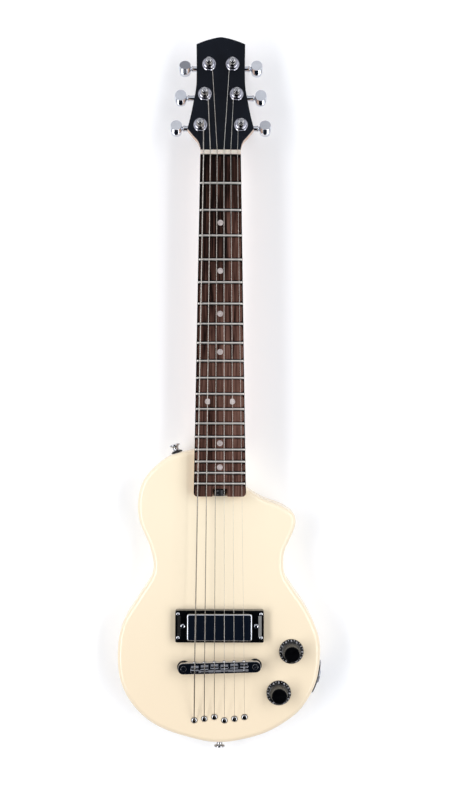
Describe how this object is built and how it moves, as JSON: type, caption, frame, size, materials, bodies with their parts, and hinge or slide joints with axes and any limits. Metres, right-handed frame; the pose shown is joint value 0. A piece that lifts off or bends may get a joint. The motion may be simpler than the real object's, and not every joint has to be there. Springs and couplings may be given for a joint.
{
  "type": "travel guitar",
  "caption": "Short-scale solid-body electric travel guitar with a single cutaway, one pickup, a post-mounted bridge and a tilted headstock with tuners on both sides.",
  "frame": {"origin": "on the flat back of the body, on the centreline, directly under the end of the scale", "axes": "+Y along the neck towards the headstock, +Z out of the face, +X towards the treble side"},
  "size_m": [0.2147, 0.7459, 0.0652],
  "materials": {
    "body_cream": "cream gloss lacquer",
    "neck_maple": "satin maple",
    "board_rosewood": "oiled dark wood",
    "headstock_black": "black gloss",
    "nut_bone": "polished bone",
    "chrome": "polished",
    "steel_wound": "wound string",
    "steel_plain": "plain steel",
    "fret_nickel": "polished nickel",
    "inlay_grey": "pearl",
    "black_plastic": "gloss",
    "black_steel": "blackened",
    "felt_black": "felt",
    "numeral_white": "filled numerals"
  },
  "bodies": {
    "root": {"body": "body_cream", "neck": "neck_maple", "fretboard": "board_rosewood", "headstock_veneer": "headstock_black", "nut": "nut_bone", "string_low_e": "steel_wound", "string_a": "steel_wound", "string_d": "steel_wound", "string_g": "steel_plain", "string_b": "steel_plain", "string_high_e": "steel_plain", "tuner_housing_low_e": "chrome", "tuner_housing_a": "chrome", "tuner_housing_d": "chrome", "tuner_housing_g": "chrome", "tuner_housing_b": "chrome", "tuner_housing_high_e": "chrome", "tuner_bushing_low_e": "chrome", "tuner_bushing_a": "chrome", "tuner_bushing_d": "chrome", "tuner_bushing_g": "chrome", "tuner_bushing_b": "chrome", "tuner_bushing_high_e": "chrome", "pickup_ring": "black_plastic", "string_block": "chrome", "volume_pot": "steel_plain", "tone_pot": "steel_plain", "control_cover": "black_plastic", "jack_plate": "chrome", "jack_socket": "chrome", "strap_button_upper": "chrome", "strap_button_lower": "chrome", "neck_plate": "chrome"},
    "button_low_e": {"tuner_button_low_e": "chrome"},
    "button_a": {"tuner_button_a": "chrome"},
    "button_d": {"tuner_button_d": "chrome"},
    "button_g": {"tuner_button_g": "chrome"},
    "button_b": {"tuner_button_b": "chrome"},
    "button_high_e": {"tuner_button_high_e": "chrome"},
    "post_low_e": {"tuner_post_low_e": "chrome"},
    "post_a": {"tuner_post_a": "chrome"},
    "post_d": {"tuner_post_d": "chrome"},
    "post_g": {"tuner_post_g": "chrome"},
    "post_b": {"tuner_post_b": "chrome"},
    "post_high_e": {"tuner_post_high_e": "chrome"},
    "volume": {"volume_knob": "black_plastic"},
    "tone": {"tone_knob": "black_plastic"},
    "truss_wheel": {"truss_rod_wheel": "black_steel"},
    "bridge": {"bridge_body": "chrome"},
    "bridge_stud_bass": {"bridge_post_bass": "chrome"},
    "bridge_stud_treble": {"bridge_post_treble": "chrome"},
    "saddle_low_e": {"saddle_low_e": "chrome"},
    "saddle_a": {"saddle_a": "chrome"},
    "saddle_d": {"saddle_d": "chrome"},
    "saddle_g": {"saddle_g": "chrome"},
    "saddle_b": {"saddle_b": "chrome"},
    "saddle_high_e": {"saddle_high_e": "chrome"},
    "pickup": {"pickup": "chrome"},
    "pickup_screw_bass": {"pickup_screw_bass": "steel_plain"},
    "pickup_screw_treble": {"pickup_screw_treble": "steel_plain"}
  },
  "joints": [
    {"name": "button_low_e_turn", "type": "hinge", "parent": "root", "child": "button_low_e", "pos_m": [-0.0211, 0.55784, 0.02867], "axis": [1, 0, 0], "continuous": true},
    {"name": "button_a_turn", "type": "hinge", "parent": "root", "child": "button_a", "pos_m": [-0.0165, 0.59036, 0.02639], "axis": [1, 0, 0], "continuous": true},
    {"name": "button_d_turn", "type": "hinge", "parent": "root", "child": "button_d", "pos_m": [-0.0122, 0.62198, 0.02418], "axis": [1, 0, 0], "continuous": true},
    {"name": "button_g_turn", "type": "hinge", "parent": "root", "child": "button_g", "pos_m": [0.0122, 0.62198, 0.02418], "axis": [1, 0, 0], "continuous": true},
    {"name": "button_b_turn", "type": "hinge", "parent": "root", "child": "button_b", "pos_m": [0.0165, 0.59036, 0.02639], "axis": [1, 0, 0], "continuous": true},
    {"name": "button_high_e_turn", "type": "hinge", "parent": "root", "child": "button_high_e", "pos_m": [0.0211, 0.55784, 0.02867], "axis": [1, 0, 0], "continuous": true},
    {"name": "post_low_e_turn", "type": "hinge", "parent": "root", "child": "post_low_e", "pos_m": [-0.0211, 0.55733, 0.05005], "axis": [0, 0.0698, 0.9976], "continuous": true, "deforming": ["string_low_e"]},
    {"name": "post_a_turn", "type": "hinge", "parent": "root", "child": "post_a", "pos_m": [-0.0165, 0.58985, 0.04778], "axis": [0, 0.0698, 0.9976], "continuous": true, "deforming": ["string_a"]},
    {"name": "post_d_turn", "type": "hinge", "parent": "root", "child": "post_d", "pos_m": [-0.0122, 0.62148, 0.04557], "axis": [0, 0.0698, 0.9976], "continuous": true, "deforming": ["string_d"]},
    {"name": "post_g_turn", "type": "hinge", "parent": "root", "child": "post_g", "pos_m": [0.0122, 0.62148, 0.04557], "axis": [0, 0.0698, 0.9976], "continuous": true, "deforming": ["string_g"]},
    {"name": "post_b_turn", "type": "hinge", "parent": "root", "child": "post_b", "pos_m": [0.0165, 0.58985, 0.04778], "axis": [0, 0.0698, 0.9976], "continuous": true, "deforming": ["string_b"]},
    {"name": "post_high_e_turn", "type": "hinge", "parent": "root", "child": "post_high_e", "pos_m": [0.0211, 0.55733, 0.05005], "axis": [0, 0.0698, 0.9976], "continuous": true, "deforming": ["string_high_e"]},
    {"name": "volume_turn", "type": "hinge", "parent": "root", "child": "volume", "pos_m": [0.0748, 0.0102, 0.044], "axis": [0, 0, -1], "range_deg": [0, 300]},
    {"name": "tone_turn", "type": "hinge", "parent": "root", "child": "tone", "pos_m": [0.0618, -0.033, 0.044], "axis": [0, 0, -1], "range_deg": [0, 300]},
    {"name": "truss_wheel_turn", "type": "hinge", "parent": "root", "child": "truss_wheel", "pos_m": [0, 0.1725, 0.0489], "axis": [0, 1, 0], "range_deg": [-360, 360]},
    {"name": "bridge_lift", "type": "slide", "parent": "root", "child": "bridge", "axis": [0, 0, 1], "range_m": [-0.0021, 0.0028]},
    {"name": "bridge_stud_bass_turn", "type": "hinge", "parent": "bridge", "child": "bridge_stud_bass", "pos_m": [-0.03698, -0.0052, 0.044], "axis": [0, 0, 1], "range_deg": [-1080, 1440]},
    {"name": "bridge_stud_treble_turn", "type": "hinge", "parent": "bridge", "child": "bridge_stud_treble", "pos_m": [0.03698, -0.003, 0.044], "axis": [0, 0, 1], "range_deg": [-1080, 1440]},
    {"name": "saddle_low_e_slide", "type": "slide", "parent": "bridge", "child": "saddle_low_e", "axis": [-0.0297, 0.9996, 0], "range_m": [-0.0009, 0.0033]},
    {"name": "saddle_a_slide", "type": "slide", "parent": "bridge", "child": "saddle_a", "axis": [-0.0297, 0.9996, 0], "range_m": [-0.0015, 0.0027]},
    {"name": "saddle_d_slide", "type": "slide", "parent": "bridge", "child": "saddle_d", "axis": [-0.0297, 0.9996, 0], "range_m": [-0.0021, 0.0021]},
    {"name": "saddle_g_slide", "type": "slide", "parent": "bridge", "child": "saddle_g", "axis": [-0.0297, 0.9996, 0], "range_m": [-0.0015, 0.0027]},
    {"name": "saddle_b_slide", "type": "slide", "parent": "bridge", "child": "saddle_b", "axis": [-0.0297, 0.9996, 0], "range_m": [-0.0021, 0.0021]},
    {"name": "saddle_high_e_slide", "type": "slide", "parent": "bridge", "child": "saddle_high_e", "axis": [-0.0297, 0.9996, 0], "range_m": [-0.0027, 0.0015]},
    {"name": "pickup_lift", "type": "slide", "parent": "root", "child": "pickup", "axis": [0, 0, 1], "range_m": [-0.003, 0.0015]},
    {"name": "pickup_screw_bass_turn", "type": "hinge", "parent": "root", "child": "pickup_screw_bass", "pos_m": [-0.038, 0.038, 0.053], "axis": [0, 0, 1], "range_deg": [-1080, 2160]},
    {"name": "pickup_screw_treble_turn", "type": "hinge", "parent": "root", "child": "pickup_screw_treble", "pos_m": [0.038, 0.038, 0.053], "axis": [0, 0, 1], "range_deg": [-1080, 2160]}
  ],
  "couplings": [
    {"joint": "post_low_e_turn", "follows": "button_low_e_turn", "ratio": 0.071429},
    {"joint": "post_a_turn", "follows": "button_a_turn", "ratio": 0.071429},
    {"joint": "post_d_turn", "follows": "button_d_turn", "ratio": 0.071429},
    {"joint": "post_g_turn", "follows": "button_g_turn", "ratio": -0.071429},
    {"joint": "post_b_turn", "follows": "button_b_turn", "ratio": -0.071429},
    {"joint": "post_high_e_turn", "follows": "button_high_e_turn", "ratio": -0.071429},
    {"joint": "bridge_stud_bass_turn", "follows": "bridge_lift", "rad_per_m": 8975.9},
    {"joint": "bridge_stud_treble_turn", "follows": "bridge_lift", "rad_per_m": 8975.9},
    {"joint": "pickup_screw_bass_turn", "follows": "pickup_lift", "rad_per_m": -12566},
    {"joint": "pickup_screw_treble_turn", "follows": "pickup_lift", "rad_per_m": -12566}
  ]
}
